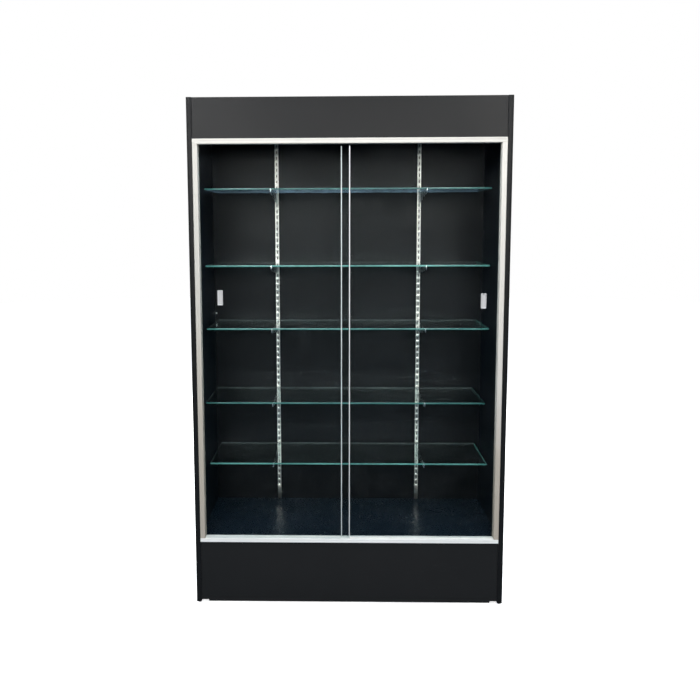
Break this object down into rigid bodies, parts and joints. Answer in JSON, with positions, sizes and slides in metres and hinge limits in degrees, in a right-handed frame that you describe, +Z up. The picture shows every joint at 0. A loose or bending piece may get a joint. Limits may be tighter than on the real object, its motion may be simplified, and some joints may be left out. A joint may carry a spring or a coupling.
{
  "type": "wall showcase",
  "caption": "Floor-standing wall showcase: black board case with a kick base and header, aluminium front frame, sliding glass doors and glass shelves on slotted standards.",
  "frame": {"origin": "on the floor, in the middle of the case's plan", "axes": "+X to the right along the front as a visitor sees it, +Y towards the wall behind, +Z up"},
  "size_m": [1.2192, 0.5079, 1.9812],
  "materials": {
    "board_black": "black melamine-faced board, low sheen",
    "edge_trim": "black vinyl edging, soft sheen",
    "rubber": "black rubber",
    "zinc": "bright zinc plating",
    "bracket_steel": "zinc-plated steel plate",
    "shelf_glass": "clear float glass with green polished edges",
    "clear_vinyl": "clear soft vinyl",
    "satin_aluminium": "satin anodised",
    "nylon": "natural nylon",
    "door_glass": "clear toughened glass",
    "door_trim": "satin anodised channel",
    "pull_metal": "satin anodised, recessed",
    "birch": "plain dowel wood"
  },
  "bodies": {
    "cabinet": {"side_panel_left": "board_black", "side_panel_right": "board_black", "top_panel": "board_black", "header_panel": "board_black", "kick_panel": "board_black", "deck_panel": "board_black", "back_panel": "board_black", "base_stretcher": "board_black", "edge_trim_left": "edge_trim", "edge_trim_right": "edge_trim", "screw_caps": "edge_trim", "floor_glides": "rubber", "door_bumpers": "rubber", "carcass_screws": "zinc", "corner_screws": "zinc", "standard_left": "zinc", "standard_right": "zinc", "standard_fixings": "zinc", "stile_screws": "zinc", "rail_screws": "zinc", "bracket_left_1": "bracket_steel", "bracket_left_2": "bracket_steel", "bracket_left_3": "bracket_steel", "bracket_left_4": "bracket_steel", "bracket_left_5": "bracket_steel", "bracket_right_1": "bracket_steel", "bracket_right_2": "bracket_steel", "bracket_right_3": "bracket_steel", "bracket_right_4": "bracket_steel", "bracket_right_5": "bracket_steel", "shelf_1": "shelf_glass", "shelf_2": "shelf_glass", "shelf_3": "shelf_glass", "shelf_4": "shelf_glass", "shelf_5": "shelf_glass", "shelf_cushions": "clear_vinyl", "frame_top_rail": "satin_aluminium", "frame_bottom_rail": "satin_aluminium", "frame_stile_left": "satin_aluminium", "frame_stile_right": "satin_aluminium", "track_runners": "nylon", "dowels": "birch"},
    "left_door": {"door_glass_left": "door_glass", "door_edge_left": "door_trim", "finger_pull_left": "pull_metal", "door_saddles_left": "nylon"},
    "right_door": {"door_glass_right": "door_glass", "door_edge_right": "door_trim", "finger_pull_right": "pull_metal", "door_saddles_right": "nylon"}
  },
  "joints": [
    {"name": "left_door_slide", "type": "slide", "parent": "cabinet", "child": "left_door", "axis": [1, 0, 0], "range_m": [0, 0.572]},
    {"name": "right_door_slide", "type": "slide", "parent": "cabinet", "child": "right_door", "axis": [1, 0, 0], "range_m": [-0.545, 0]}
  ]
}
